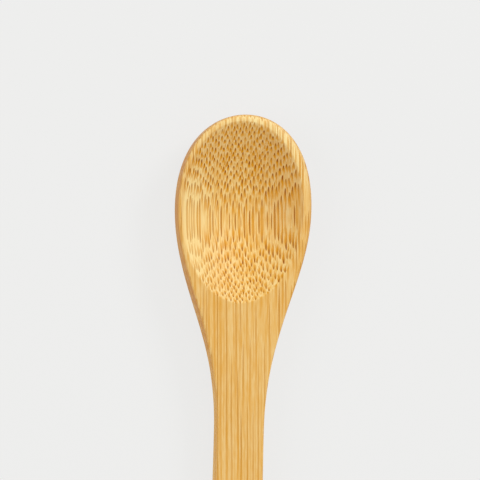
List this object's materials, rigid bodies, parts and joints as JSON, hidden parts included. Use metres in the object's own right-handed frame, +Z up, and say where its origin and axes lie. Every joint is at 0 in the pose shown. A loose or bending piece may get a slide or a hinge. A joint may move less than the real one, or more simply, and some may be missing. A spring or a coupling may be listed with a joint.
{
  "type": "bamboo cosmetic spoon",
  "caption": "Small spoon carved from one lath of bamboo: egg-shaped scooped bowl, tapering neck, flat handle with a rounded end.",
  "frame": {"origin": "on the table, under the middle of the spoon's length and width, with the spoon lying on its back", "axes": "+Y along the spoon towards the tip of the bowl, +Z up out of the bowl, +X to the right"},
  "size_m": [0.02, 0.09, 0.007],
  "materials": {
    "bamboo": "bare sanded bamboo, satin, unvarnished"
  },
  "bodies": {
    "root": {"spoon": "bamboo"}
  },
  "joints": []
}
